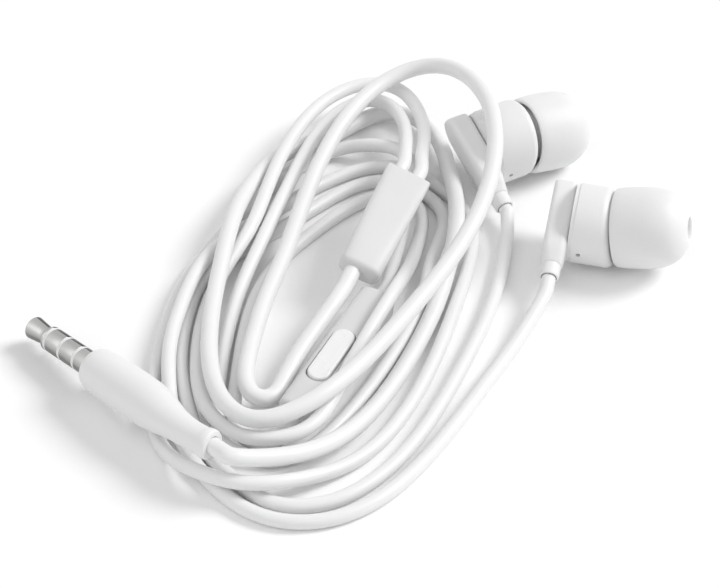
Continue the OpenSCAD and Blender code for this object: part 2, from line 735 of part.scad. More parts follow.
main_points = [each splitter_low_end, each main_route, each backwards(plug_end)];
left_points = [each branch_end(branch_gap / 2), each left_route, each backwards(bud_end(left_seat, left_turn))];
right_upper_points = [
    each branch_end(-branch_gap / 2), each right_upper_route, each backwards(remote_end(-1))
];
right_lower_points = [
    each remote_end(1), each right_lower_route, each backwards(bud_end(right_seat, right_turn))
];

// Uniform cubic B-spline, which starts and ends on the first and last points
function blend(a, b, c, d, t) =
    (pow(1 - t, 3) * a + (3 * pow(t, 3) - 6 * t * t + 4) * b
    + (3 * t * t + 3 * t + 1 - 3 * pow(t, 3)) * c + pow(t, 3) * d) / 6;
function route(p, steps) =
    let (last = len(p) - 1, q = [2 * p[0] - p[1], each p, 2 * p[last] - p[last - 1]])
    [for (i = [0:last - 1], k = [0:steps - 1]) blend(q[i], q[i + 1], q[i + 2], q[i + 3], k / steps), p[last]];

function unit(v) = v / norm(v);
function direction(c, i) = unit(c[min(i + 1, len(c) - 1)] - c[max(i - 1, 0)]);
function ring(c, i, r, sides) =
    let (ahead = direction(c, i), side = unit(cross(ahead, [0, 0, 1])), up = cross(side, ahead))
    [for (k = [0:sides - 1]) let (a = 360 * (k + 0.5) / sides) c[i] + r * (cos(a) * side + sin(a) * up)];

module cord(points, d) {
    c = [for (p = route(points, cord_steps)) p - footprint];
    n = len(c);
    s = cord_sides;
    vertices = [for (i = [0:n - 1]) each ring(c, i, d / 2, s)];
    walls = [
        for (i = [0:n - 2], k = [0:s - 1])
            let (a = i * s + k, b = i * s + (k + 1) % s)
            each [[a, a + s, b], [b, a + s, b + s]]
    ];
    caps = [for (k = [1:s - 2]) each [[0, k, k + 1], [(n - 1) * s, (n - 1) * s + k + 1, (n - 1) * s + k]]];
    color("white") polyhedron(points = vertices, faces = concat(walls, caps));
}

// Distance along a route of each of its points
function stations(c) = [
    for (i = 0, s = 0; i < len(c); s = s + (i + 1 < len(c) ? norm(c[i + 1] - c[i]) : 0), i = i + 1) s
];

// Least gap between two stretches of one cord that are further apart along it than they are thick
function least_gap(c, s, d) =
    let (clear = 4 * d)
    min([for (i = [0:len(c) - 1], j = [i + 1:1:len(c) - 1]) if (s[j] - s[i] > clear) norm(c[i] - c[j])]) - d;

module measured_cord(name, points, d) {
    c = route(points, 3);
    s = stations(c);
    echo(str(name, ": least gap to itself ", least_gap(c, s, d), " mm, length ", s[len(s) - 1], " mm"));
    cord(points, d);
}

module main_cord() {
    measured_cord("main_cord", main_points, main_d);
}

module left_cord() {
    measured_cord("left_cord", left_points, branch_d);
}

module right_cord_upper() {
    measured_cord("right_cord_upper", right_upper_points, branch_d);
}

module right_cord_lower() {
    measured_cord("right_cord_lower", right_lower_points, branch_d);
}

// ---- Assembly -------------------------------------------------------------------------------------

module left() {
    place(left_seat, left_turn) children();
}

module right() {
    place(right_seat, right_turn) children();
}

module on_remote() {
    place(remote_seat, remote_turn) children();
}

module on_splitter() {
    place(splitter_seat, splitter_turn) children();
}

module on_plug() {
    place(plug_seat, plug_turn) children();
}

left() back_bar();  // left_back_bar
left() rear_plate();  // left_rear_plate
left() housing(left_tilt);  // left_housing
left() nozzle_mesh(left_tilt);  // left_nozzle_mesh
left() ear_tip(left_tilt);  // left_ear_tip
left() driver_frame();  // left_driver_frame
left() yoke();  // left_yoke
left() magnet();  // left_magnet
left() top_plate();  // left_top_plate
left() voice_coil();  // left_voice_coil
left() diaphragm();  // left_diaphragm
left() terminal_board();  // left_terminal_board
left() stem_bushing();  // left_stem_bushing
left() inner_wires();  // left_inner_wires
right() back_bar();  // right_back_bar
right() rear_plate();  // right_rear_plate
right() housing(right_tilt);  // right_housing
right() nozzle_mesh(right_tilt);  // right_nozzle_mesh
right() ear_tip(right_tilt);  // right_ear_tip
right() driver_frame();  // right_driver_frame
right() yoke();  // right_yoke
right() magnet();  // right_magnet
right() top_plate();  // right_top_plate
right() voice_coil();  // right_voice_coil
right() diaphragm();  // right_diaphragm
right() terminal_board();  // right_terminal_board
right() stem_bushing();  // right_stem_bushing
right() inner_wires();  // right_inner_wires
on_remote() remote_front_shell();
on_remote() remote_back_shell();
on_remote() remote_button();
on_remote() remote_circuit_board();
on_remote() remote_dome_switch();
on_remote() remote_microphone();
on_remote() remote_cord_collars();
on_splitter() splitter_shell();
on_splitter() splitter_crimp();
on_plug() plug_tip();
on_plug() plug_ring_1();
on_plug() plug_ring_2();
on_plug() plug_sleeve();
on_plug() plug_insulators();
on_plug() plug_inner_mould();
on_plug() plug_overmould();
main_cord();
left_cord();
right_cord_upper();
right_cord_lower();
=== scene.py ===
"""White in-ear earphones with a remote, their cords gathered in one loose winding."""
import math

import bmesh
import bpy
from mathutils import Euler, Matrix, Vector


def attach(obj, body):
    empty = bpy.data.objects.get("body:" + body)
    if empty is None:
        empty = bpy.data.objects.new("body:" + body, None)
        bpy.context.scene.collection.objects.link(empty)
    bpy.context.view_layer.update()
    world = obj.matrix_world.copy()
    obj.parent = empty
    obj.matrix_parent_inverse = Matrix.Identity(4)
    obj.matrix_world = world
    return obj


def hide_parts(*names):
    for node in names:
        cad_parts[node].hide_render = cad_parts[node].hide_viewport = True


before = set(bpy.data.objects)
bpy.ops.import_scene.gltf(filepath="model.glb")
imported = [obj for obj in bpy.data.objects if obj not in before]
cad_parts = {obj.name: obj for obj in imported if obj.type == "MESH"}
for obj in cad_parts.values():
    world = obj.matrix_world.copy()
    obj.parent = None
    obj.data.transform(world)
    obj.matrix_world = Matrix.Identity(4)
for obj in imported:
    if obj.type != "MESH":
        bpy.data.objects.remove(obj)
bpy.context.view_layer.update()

MM = 0.001
BODY = "earphones"

# ---- Camera ------------------------------------------------------------------------------------

# The part's origin, measured in the frame that the routes and seats below are written in
FOOTPRINT = Vector((0.9, 0.705, 0))
LOOK_DOWN = math.radians(40)
AIM = Vector((-29, -17, 0))
CAMERA_DISTANCE = 370
LENS = 131.35
SENSOR = 36
NEAR_CLIP = 0.01


def add_camera():
    data = bpy.data.cameras.new("camera")
    data.lens = LENS
    data.sensor_width = SENSOR
    data.sensor_fit = "HORIZONTAL"
    data.clip_start = NEAR_CLIP
    camera = bpy.data.objects.new("camera", data)
    ahead = Vector((0, math.cos(LOOK_DOWN), -math.sin(LOOK_DOWN)))
    camera.location = (AIM - FOOTPRINT - ahead * CAMERA_DISTANCE) * MM
    camera.rotation_euler = (math.pi / 2 - LOOK_DOWN, 0, 0)
    bpy.context.scene.collection.objects.link(camera)
    bpy.context.scene.camera = camera


add_camera()

# ---- Where each assembly lies: a seat, and turns about X, Y and Z in degrees -------------------

LEFT_SEAT, LEFT_TURN = (-10.8, 8.87, 6.025), (18, -6, 24)
RIGHT_SEAT, RIGHT_TURN = (1.1, -8.25, 6.03), (14, 3, -11)
REMOTE_SEAT, REMOTE_TURN = (-32.1, -33.3, 2.5), (5, 0, 65)
SPLITTER_SEAT, SPLITTER_TURN = (-25.87, -10.2, 6.85), (14, -10, 67.7)
PLUG_SEAT, PLUG_TURN = (-64.7, -37.1, 4.15), (0, 5.99, 132.86)


def seat(at, turn):
    """A place in millimetres, as a matrix."""
    angles = [math.radians(a) for a in turn]
    return Matrix.Translation(Vector(at) - FOOTPRINT) @ Euler(angles, "XYZ").to_matrix().to_4x4()


LEFT = seat(LEFT_SEAT, LEFT_TURN)
RIGHT = seat(RIGHT_SEAT, RIGHT_TURN)
REMOTE = seat(REMOTE_SEAT, REMOTE_TURN)
SPLITTER = seat(SPLITTER_SEAT, SPLITTER_TURN)
PLUG = seat(PLUG_SEAT, PLUG_TURN)

# ---- Driving sizes, in millimetres -------------------------------------------------------------

MAIN_D = 2.4
BRANCH_D = 2.0
BAR_T = 3.4
BAR_W = 5.5
BAR_TOP = 6.5
BAR_DOWN = 8.4
EXIT_Y = -10.4
HOUSING_R = 5.7
HOUSING_L = 6.2
SEAM_T = 0.5
NOZZLE_X = 5.2
NOZZLE_TILT = 14
FRONT_LEAN = 10
REMOTE_L, REMOTE_W, REMOTE_H = 26.5, 5.3, 4.6
SPLITTER_L, SPLITTER_W, SPLITTER_H = 18.6, 6.6, 4.2
MAIN_EXIT_Y = 0.7
BRANCH_GAP = 2.7
# How far the remote's collars stand out of its ends
COLLAR_OUT = 0.2
# The left cord bends close below its neck, so its straight end is this share of the usual
LEFT_LEAD = 0.3
GRIP_L = 24.9
PIN_R = 1.75
PIN_L = 14
TIP_CONTACT_L = 5.1
RING_PITCH = 3.15
INSULATOR_W = 0.5
# The sleeve's back end, hidden in the grip
SLEEVE_BACK = -1.2

# ---- Cords -------------------------------------------------------------------------------------

# Points of each route in millimetres, from the end it leaves to the end it reaches
MAIN_ROUTE = [
    (-32.3, -24, 4.8), (-33.8, -26.4, 4.1), (-35.3, -29, 3.5), (-36.8, -31.7, 3),
    (-38.6, -35.7, 2.3), (-39.4, -38, 2),
    # the tight bend beside the remote
    (-40.1, -40.1, 1.9), (-41.6, -41.4, 2), (-43.6, -40.9, 2.5), (-44.35, -38.9, 3), (-44.3, -36.2, 3.4),
    (-43.9, -32.8, 3.6), (-43.3, -29.2, 3.7),
    # up the left side and over the left earbud
    (-42.2, -23, 4), (-40.2, -16, 4.2), (-38.8, -10, 4.5), (-37, -1.5, 5), (-35, 6, 5.8),
    (-32, 14, 6.8), (-28, 21, 7.5), (-23, 25.6, 8.2), (-17.2, 25.8, 9.8), (-12.6, 19.8, 11.8),
    (-10.1, 10.1, 13.9), (-9.7, 5.5, 13.7), (-9.5, 1.1, 12.6), (-10.6, -6.5, 11.3),
    # down the right side and round the bottom
    (-13.4, -14.8, 10.3), (-17.3, -22.3, 9.1), (-22, -29.5, 8), (-27.7, -38.4, 7.2),
    (-33, -45.5, 7.3), (-38, -48.9, 6.5), (-42.5, -50, 5.9), (-46.3, -47.2, 5.5),
    # second turn, up the left side
    (-48.6, -41, 4.6), (-49.6, -33, 3.9), (-49.4, -24, 4), (-48.6, -17, 4.4),
    (-47.9, -11.5, 5.2), (-47.2, -7, 5.3), (-46.4, -2.5, 5), (-44.5, 4, 4), (-42, 10.5, 2.8),
    (-38.2, 15.4, 1.8), (-33, 18.2, 1.5), (-28.6, 22.6, 1.5), (-24.2, 25.3, 1.5),
    # down the right side to the plug
    (-18.7, 21.2, 2), (-16.4, 13.8, 2.3), (-16.1, 8.6, 2.8), (-15.3, 3.4, 3.8), (-14.9, -3, 3.8),
    (-15.6, -10, 3.1), (-16.9, -15.7, 2.2), (-18.4, -21.8, 1.6), (-21.1, -29.5, 1.4),
    (-24.3, -37.2, 1.3), (-28.1, -44.5, 1.6), (-32.5, -51, 3), (-37.3, -54.5, 4.3),
    (-41.7, -56.6, 5.8),
]
LEFT_ROUTE = [
    (-22.4, 7.4, 7.2), (-22, 12.5, 6), (-22.8, 19, 5), (-25.3, 23.5, 4.4), (-29, 24, 4.1),
    (-32.5, 20.8, 4.1), (-35.3, 16.1, 4), (-37.6, 9.7, 3.9), (-39.6, 2.6, 3.8), (-41.3, -3, 3.6),
    (-43, -9, 3.1), (-44.9, -14.6, 2.2), (-46.3, -20.2, 1.7), (-47.3, -27, 1.3),
    (-47.9, -34, 1.1), (-48.2, -41, 1), (-47.9, -46.4, 1), (-45.4, -50.6, 1),
    # round the bottom and up the right side
    (-41.3, -52.3, 1), (-37.5, -51.4, 1), (-34, -48.4, 1), (-31.2, -44.2, 1), (-28.3, -39.2, 1),
    (-25.3, -33, 1), (-21.9, -25.2, 1), (-20, -17.8, 1), (-19, -11.1, 1), (-17.4, -6.1, 1),
    (-16.5, -1.5, 1), (-17.6, 2.5, 1),
    # across under the splitter and down the left side
    (-20.9, 6.1, 1), (-25.3, 8.5, 1), (-30.5, 6.4, 1), (-35.2, 1.8, 1), (-39, -2.2, 1),
    (-42.6, -5.4, 1), (-46.5, -9.1, 1), (-50, -12.4, 1), (-51.9, -16.8, 1), (-53, -22.5, 1),
    (-53.6, -29.5, 1), (-53.3, -36, 1), (-51.9, -41.5, 1), (-50.7, -46.7, 1), (-48.5, -51.6, 1),
    # round the bottom to the left earbud
    (-45.2, -55.8, 1), (-42, -59.2, 1), (-38.3, -60.6, 1), (-34, -60.3, 1), (-29.8, -58.2, 1),
    (-25.8, -54.4, 1), (-22, -49, 1), (-18.3, -41.5, 1), (-14.7, -32.5, 1), (-11.5, -23.8, 1),
    (-9.6, -16.6, 1), (-8.5, -10.5, 1), (-7.8, -5.8, 1.1),
]
RIGHT_UPPER_ROUTE = [
    (-20.1, 6.6, 6.9), (-19.3, 11.6, 5.9), (-19.9, 19.3, 5.4), (-22.4, 25.3, 5.2),
    (-26.7, 27.2, 5.2), (-31, 25.6, 5.2), (-34.9, 21.8, 5.2), (-38.1, 16, 5.2), (-40.5, 9, 5.1),
    (-42.1, 2.8, 5), (-43.3, -3, 4.7), (-44.7, -7.5, 3.9), (-46.7, -11.2, 2.9),
    (-48.8, -15.2, 1.6), (-50.3, -20.4, 1.2), (-51.2, -27, 1.2), (-51.2, -33.7, 1.4),
    (-50.6, -39.4, 2.2), (-49.2, -45.2, 3.2),
    # round the bottom and past the remote
    (-45.2, -50.2, 3.5), (-40.8, -51.2, 4), (-36.8, -50.3, 4.1), (-33.8, -47.2, 4.4),
    (-32, -42.2, 4.9), (-29.6, -35.8, 5), (-27.7, -31.3, 5.5), (-25.2, -25.6, 6),
    (-23.3, -20, 5.1), (-22, -13.3, 1.7), (-20.8, -7.5, 1), (-19.7, -2, 1),
    # across under the splitter and down the left side
    (-20.7, 3, 1), (-23.9, 4.5, 1), (-27.8, 3.8, 1), (-31.9, 0.2, 1), (-35.9, -4.5, 1),
    (-39.3, -9, 1), (-42, -13.6, 1), (-43.9, -19.5, 1), (-44.9, -25.9, 1), (-45.4, -32.2, 1),
    # the small bend into the remote's lower end
    (-45.7, -37, 1), (-45.9, -41.3, 1), (-45.6, -45, 1), (-44.4, -48, 1), (-42.1, -49.8, 1.2),
    (-40.2, -49.9, 1.8),
]
RIGHT_LOWER_ROUTE = [
    (-24.7, -14.6, 1.9), (-23.7, -9.5, 2), (-22.6, -3.6, 2.9), (-21.5, 1.4, 3.4), (-20.8, 5.9, 3.5),
    (-21.3, 9.8, 3.5), (-23.6, 12.9, 3.5), (-27.8, 14.4, 2.9), (-32.3, 15.2, 1.5),
    # down the left side, outermost
    (-37.2, 12.2, 1), (-42, 7, 1), (-45.8, 0.8, 1), (-49.2, -5.2, 1), (-52, -11, 1),
    (-54.2, -16.7, 1), (-55.6, -23.5, 1), (-56.4, -30, 1), (-57, -37, 1), (-56.8, -43.5, 1),
    (-55.4, -49.4, 1.1),
    # round the bottom and up the right side
    (-52.4, -54.1, 2.3), (-48.6, -57.3, 3.5), (-44.5, -59, 3.6), (-40.4, -58.7, 3.4),
    (-36.5, -56.9, 2.4), (-32.2, -54.3, 1.3), (-28.3, -51.1, 1), (-24.6, -46.1, 1),
    (-21.2, -38.9, 1), (-18.1, -30.1, 1), (-15.4, -19.9, 1), (-13.4, -11.8, 1),
    (-12.4, -5.2, 1), (-13.2, 0.6, 1), (-15.8, 4.4, 1),
    # across the top and down the left side again, on the turns below
    (-18.4, 7.2, 1), (-21.4, 10.6, 1), (-25.5, 11.7, 1), (-30.5, 10.1, 1), (-35.4, 6.6, 1),
    (-40.1, 1.9, 1), (-43.7, -2.2, 1.6), (-47.1, -6.4, 2.3), (-50.2, -11.2, 3.1),
    (-52.4, -17, 3.3), (-53.8, -23.5, 3.2), (-54.9, -30, 3.1), (-54.9, -36, 2.8),
    (-54.2, -42, 1.6), (-53, -47.2, 1), (-50.8, -52.3, 1),
    # round the bottom to the right earbud
    (-47.6, -57.2, 1), (-44, -61, 1), (-39.7, -63.2, 1), (-34.7, -63.5, 1), (-29.8, -61.8, 1),
    (-25, -58, 1), (-20.5, -52, 1), (-16.3, -45, 1), (-12.3, -37.3, 1), (-8, -29.7, 1),
]

SPAN_STEPS = 5
CORD_SIDES = 20


def lead(place, at, out, diameter):
    """Where a cord meets a piece, and three points straight out of it."""
    return [place @ (Vector(at) + Vector(out) * diameter / 2 * i) for i in range(4)]


def cord_line(start, route, end):
    """The smooth line of a cord: a uniform cubic B-spline that starts and ends on its end points."""
    points = [*start, *(Vector(p) - FOOTPRINT for p in route), *reversed(end)]
    points = [points[0] * 2 - points[1], *points, points[-1] * 2 - points[-2]]
    line = []
    for a, b, c, d in zip(points, points[1:], points[2:], points[3:]):
        for step in range(SPAN_STEPS):
            t = step / SPAN_STEPS
            line.append(
                (a * (1 - t) ** 3 + b * (3 * t**3 - 6 * t * t + 4)
                 + c * (3 * t * t + 3 * t + 1 - 3 * t**3) + d * t**3) / 6)
    line.append(points[-2])
    return line


def tube_mesh(line, radius):
    """A tube along a line; a ring just inside the rim keeps each flat end crisp."""
    mesh = bmesh.new()
    stations = [(0, radius * 0.9), *((i, radius) for i in range(len(line))), (len(line) - 1, radius * 0.9)]
    ahead = (line[1] - line[0]).normalized()
    side = ahead.cross(Vector((0, 0, 1))).normalized()
    rings = []
    for i, r in stations:
        ahead = (line[min(i + 1, len(line) - 1)] - line[max(i - 1, 0)]).normalized()
        side = (side - ahead * side.dot(ahead)).normalized()
        up = ahead.cross(side)
        ring = []
        for k in range(CORD_SIDES):
            angle = 2 * math.pi * k / CORD_SIDES
            out = side * math.cos(angle) + up * math.sin(angle)
            ring.append(mesh.verts.new((line[i] + out * r) * MM))
        rings.append(ring)
    join_rings(mesh, rings)
    mesh.faces.new(rings[0])
    mesh.faces.new(list(reversed(rings[-1])))
    return mesh


# ---- Mesh makers -------------------------------------------------------------------------------

# Faces that meet at more than these degrees stay sharp: on pieces with crisp edges, and on soft ones
CRISP, ROUNDED = 35, 50


def join_rings(mesh, rings, closed=False):
    """Quads between neighbouring rings; closed also joins the last ring to the first."""
    pairs = list(zip(rings, rings[1:]))
    if closed:
        pairs.append((rings[-1], rings[0]))
    for a, b in pairs:
        for k in range(len(a)):
            n = (k + 1) % len(a)
            mesh.faces.new((a[k], a[n], b[n], b[k]))


def finish_mesh(name, mesh, material, place=None, smooth_angle=40):
    """Turns a bmesh in metres into an object that stands at place."""
    bmesh.ops.remove_doubles(mesh, verts=mesh.verts, dist=1e-7)
    bmesh.ops.recalc_face_normals(mesh, faces=mesh.faces)
    data = bpy.data.meshes.new(name)
    mesh.to_mesh(data)
    mesh.free()
    piece = bpy.data.objects.new(name, data)
    bpy.context.scene.collection.objects.link(piece)
    data.materials.append(material)
    data.shade_smooth()
    data.set_sharp_from_angle(angle=math.radians(smooth_angle))
    if place is not None:
        where, turn, _ = place.decompose()
        piece.matrix_world = Matrix.Translation(where * MM) @ turn.to_matrix().to_4x4()
    return piece


def fillet(corners, steps=5):
    """Rounds each corner (x, r, radius) of an outline, and gives its points."""
    count = len(corners)
    points = []
    for i, (x, r, radius) in enumerate(corners):
        here = Vector((x, r))
        if not radius:
            points.append(here)
            continue
        before = (Vector(corners[i - 1][:2]) - here).normalized()
        after = (Vector(corners[(i + 1) % count][:2]) - here).normalized()
        half = before.angle(after) / 2
        reach = radius / math.tan(half)
        centre = here + (before + after).normalized() * radius / math.sin(half)
        start = here + before * reach - centre
        end = here + after * reach - centre
        sweep = start.angle(end)
        for k in range(steps + 1):
            t = k / steps
            swung = start * math.sin((1 - t) * sweep) + end * math.sin(t * sweep)
            points.append(centre + swung / math.sin(sweep))
    return points


def turned_mesh(outline, sides=72, closed=True):
    """Turns an outline of (x, r) points in millimetres round the X axis."""
    mesh = bmesh.new()
    rings = []
    for x, r in outline:
        ring = []
        for k in range(sides):
            angle = 2 * math.pi * k / sides
            ring.append(mesh.verts.new((x * MM, r * math.cos(angle) * MM, r * math.sin(angle) * MM)))
        rings.append(ring)
    join_rings(mesh, rings, closed)
    if not closed:
        mesh.faces.new(rings[0])
        mesh.faces.new(rings[-1])
    return mesh


def oval_ring(mesh, centre, across, up, half_w, half_h, power, count=48):
    """A ring of a rounded box section, with more points round its corners."""
    ring = []
    for k in range(count):
        angle = 2 * math.pi * k / count
        c, s = math.cos(angle), math.sin(angle)
        reach = (abs(c) ** power + abs(s) ** power) ** (-1 / power)
        point = centre + across * half_w * c * reach + up * half_h * s * reach
        ring.append(mesh.verts.new(point * MM))
    return ring


def lofted_mesh(sections, across, up):
    """A solid through sections of (centre, half width, half height, power)."""
    mesh = bmesh.new()
    rings = [oval_ring(mesh, Vector(c), Vector(across), Vector(up), w, h, p) for c, w, h, p in sections]
    join_rings(mesh, rings)
    mesh.faces.new(rings[0])
    mesh.faces.new(list(reversed(rings[-1])))
    return mesh


def pill_mesh(length, width, levels, count=28):
    """A pill along X through levels of (height, inset)."""
    mesh = bmesh.new()
    rings = []
    for z, inset in levels:
        ring = []
        r = width / 2 - inset
        for end in (1, -1):
            for k in range(count // 2 + 1):
                angle = -math.pi / 2 + math.pi * k / (count // 2)
                x = end * ((length - width) / 2 + r * math.cos(angle))
                ring.append(mesh.verts.new((x * MM, end * r * math.sin(angle) * MM, z * MM)))
        rings.append(ring)
    join_rings(mesh, rings)
    mesh.faces.new(rings[0])
    mesh.faces.new(list(reversed(rings[-1])))
    return mesh


def cut(piece, cutter):
    """Cuts one piece out of another and removes the cutter."""
    modifier = piece.modifiers.new("cut", "BOOLEAN")
    modifier.object = cutter
    modifier.solver = "EXACT"
    bpy.context.view_layer.update()
    solid = piece.evaluated_get(bpy.context.evaluated_depsgraph_get())
    data = bpy.data.meshes.new_from_object(solid)
    piece.modifiers.clear()
    piece.data = data
    bpy.data.objects.remove(cutter)
    data.shade_smooth()
    data.set_sharp_from_angle(angle=math.radians(CRISP))


# ---- Finishes ----------------------------------------------------------------------------------

COLOUR, NUMBER = "NodeSocketColor", "NodeSocketFloat"
# Where a colour Mix node keeps its two colours and its result
MIX_A, MIX_B, MIX_OUT = 6, 7, 2


def grey(level):
    return (level, level, level, 1)


def new_group(name, inputs):
    """A node group that gives a colour, a roughness and a height."""
    group = bpy.data.node_groups.new(name, "ShaderNodeTree")
    for socket, kind, value in inputs:
        made = group.interface.new_socket(socket, in_out="INPUT", socket_type=kind)
        made.default_value = value
    for socket, kind in (("Colour", COLOUR), ("Roughness", NUMBER), ("Height", NUMBER)):
        group.interface.new_socket(socket, in_out="OUTPUT", socket_type=kind)
    return group, group.nodes.new("NodeGroupInput"), group.nodes.new("NodeGroupOutput")


def skin_group():
    """The fine skin of moulded plastic and rubber: faint clouding, grain and patches of sheen."""
    group, given, out = new_group(
        "moulded_skin",
        [("Colour", COLOUR, grey(0.8)), ("Shade", COLOUR, grey(0.75)),
         ("Cloud Scale", NUMBER, 160), ("Grain Scale", NUMBER, 9000),
         ("Roughness", NUMBER, 0.4), ("Roughness Spread", NUMBER, 0.08)])
    make, link = group.nodes.new, group.links.new
    place = make("ShaderNodeTexCoord")
    cloud = make("ShaderNodeTexNoise")
    cloud.inputs["Detail"].default_value = 3
    link(place.outputs["Object"], cloud.inputs["Vector"])
    link(given.outputs["Cloud Scale"], cloud.inputs["Scale"])
    grain = make("ShaderNodeTexNoise")
    grain.inputs["Detail"].default_value = 2
    link(place.outputs["Object"], grain.inputs["Vector"])
    link(given.outputs["Grain Scale"], grain.inputs["Scale"])
    tint = make("ShaderNodeMix")
    tint.data_type = "RGBA"
    link(cloud.outputs["Fac"], tint.inputs[0])
    link(given.outputs["Colour"], tint.inputs[MIX_A])
    link(given.outputs["Shade"], tint.inputs[MIX_B])
    link(tint.outputs[MIX_OUT], out.inputs["Colour"])
    centred = make("ShaderNodeMath")
    centred.operation = "SUBTRACT"
    centred.inputs[1].default_value = 0.5
    link(cloud.outputs["Fac"], centred.inputs[0])
    rough = make("ShaderNodeMath")
    rough.operation = "MULTIPLY_ADD"
    link(centred.outputs[0], rough.inputs[0])
    link(given.outputs["Roughness Spread"], rough.inputs[1])
    link(given.outputs["Roughness"], rough.inputs[2])
    link(rough.outputs[0], out.inputs["Roughness"])
    link(grain.outputs["Fac"], out.inputs["Height"])
    return group


def metal_and_painted_light_group():
    """Turned and handled metal: fine rings round X, long rubs, painted shading that falls off round the
    axis, and one painted dark reflection.
    """
    group, given, out = new_group(
        "turned_metal_and_painted_light",
        [("Colour", COLOUR, grey(0.6)), ("Rub", COLOUR, grey(0.4)),
         ("Ring Scale", NUMBER, 9000), ("Rub Scale", NUMBER, 700),
         ("Roughness", NUMBER, 0.25), ("Painted Reflection", NUMBER, 0), ("Falloff", NUMBER, 0)])
    make, link = group.nodes.new, group.links.new
    place = make("ShaderNodeTexCoord")
    round_the_axis = make("ShaderNodeMapping")
    round_the_axis.inputs["Scale"].default_value = (1, 0.04, 0.04)
    link(place.outputs["Object"], round_the_axis.inputs["Vector"])
    rings = make("ShaderNodeTexNoise")
    rings.inputs["Detail"].default_value = 3
    link(round_the_axis.outputs["Vector"], rings.inputs["Vector"])
    link(given.outputs["Ring Scale"], rings.inputs["Scale"])
    along = make("ShaderNodeMapping")
    along.inputs["Scale"].default_value = (0.15, 1, 1)
    link(place.outputs["Object"], along.inputs["Vector"])
    rubs = make("ShaderNodeTexNoise")
    rubs.inputs["Detail"].default_value = 4
    link(along.outputs["Vector"], rubs.inputs["Vector"])
    link(given.outputs["Rub Scale"], rubs.inputs["Scale"])
    tint = make("ShaderNodeMix")
    tint.data_type = "RGBA"
    link(rubs.outputs["Fac"], tint.inputs[0])
    link(given.outputs["Colour"], tint.inputs[MIX_A])
    link(given.outputs["Rub"], tint.inputs[MIX_B])
    # the painted dark reflection runs where the direction out from the X axis is close to its own
    across = make("ShaderNodeVectorMath")
    across.operation = "MULTIPLY"
    across.inputs[1].default_value = (0, 1, 1)
    link(place.outputs["Object"], across.inputs[0])
    outward = make("ShaderNodeVectorMath")
    outward.operation = "NORMALIZE"
    link(across.outputs[0], outward.inputs[0])
    nearness = make("ShaderNodeVectorMath")
    nearness.operation = "DOT_PRODUCT"
    nearness.inputs[1].default_value = DARK_REFLECTION_SIDE
    link(outward.outputs[0], nearness.inputs[0])
    # painted shading: the colour falls off towards the far side, with a painted highlight partway round
    spread = make("ShaderNodeMapRange")
    spread.inputs["From Min"].default_value = -1
    link(nearness.outputs["Value"], spread.inputs["Value"])
    painted_shade_ramp = make("ShaderNodeValToRGB")
    stops = painted_shade_ramp.color_ramp.elements
    for i, (where, level) in enumerate(METAL_PAINTED_SHADE):
        stop = stops[i] if i < 2 else stops.new(where)
        stop.position = where
        stop.color = grey(level)
    link(spread.outputs["Result"], painted_shade_ramp.inputs["Fac"])
    shaded = make("ShaderNodeMix")
    shaded.data_type = "RGBA"
    shaded.blend_type = "MULTIPLY"
    link(given.outputs["Falloff"], shaded.inputs[0])
    link(tint.outputs[MIX_OUT], shaded.inputs[MIX_A])
    link(painted_shade_ramp.outputs["Color"], shaded.inputs[MIX_B])
    # the painted dark reflection, faded at its edges and mixed over the colour
    band = make("ShaderNodeMapRange")
    band.inputs["From Min"].default_value = math.cos(math.radians(DARK_REFLECTION_FADES))
    band.inputs["From Max"].default_value = math.cos(math.radians(DARK_REFLECTION_HALF))
    link(nearness.outputs["Value"], band.inputs["Value"])
    amount = make("ShaderNodeMath")
    amount.operation = "MULTIPLY"
    link(band.outputs["Result"], amount.inputs[0])
    link(given.outputs["Painted Reflection"], amount.inputs[1])
    painted_reflection = make("ShaderNodeMix")
    painted_reflection.data_type = "RGBA"
    painted_reflection.inputs[MIX_B].default_value = grey(DARK_REFLECTION_TONE)
    link(amount.outputs[0], painted_reflection.inputs[0])
    link(shaded.outputs[MIX_OUT], painted_reflection.inputs[MIX_A])
    link(painted_reflection.outputs[MIX_OUT], out.inputs["Colour"])
    rough = make("ShaderNodeMath")
    rough.operation = "MULTIPLY_ADD"
    rough.inputs[1].default_value = RUB_ROUGHNESS
    link(rubs.outputs["Fac"], rough.inputs[0])
    link(given.outputs["Roughness"], rough.inputs[2])
    link(rough.outputs[0], out.inputs["Roughness"])
    link(rings.outputs["Fac"], out.inputs["Height"])
    return group


def finish_with(group, name, bump, depth, values, **constants):
    """A material whose colour, roughness and relief come from a group; constants go on the shader itself."""
    material = bpy.data.materials.new(name)
    material.use_nodes = True
    nodes, links = material.node_tree.nodes, material.node_tree.links
    shader = nodes["Principled BSDF"]
    skin = nodes.new("ShaderNodeGroup")
    skin.node_tree = group
    for socket, value in values.items():
        skin.inputs[socket].default_value = value
    links.new(skin.outputs["Colour"], shader.inputs["Base Color"])
    links.new(skin.outputs["Roughness"], shader.inputs["Roughness"])
    relief = nodes.new("ShaderNodeBump")
    relief.inputs["Strength"].default_value = bump
    relief.inputs["Distance"].default_value = depth
    links.new(skin.outputs["Height"], relief.inputs["Height"])
    links.new(relief.outputs["Normal"], shader.inputs["Normal"])
    for socket, value in constants.items():
        shader.inputs[socket.replace("_", " ")].default_value = value
    return material


def plastic_finish(name, level, roughness, bump=0.25, spread=0.1, grain=9000, **constants):
    return finish_with(
        SKIN, name, bump, PLASTIC_GRAIN,
        {"Colour": grey(level), "Shade": grey(level * CLOUDED), "Grain Scale": grain,
         "Roughness": roughness, "Roughness Spread": spread}, **constants)


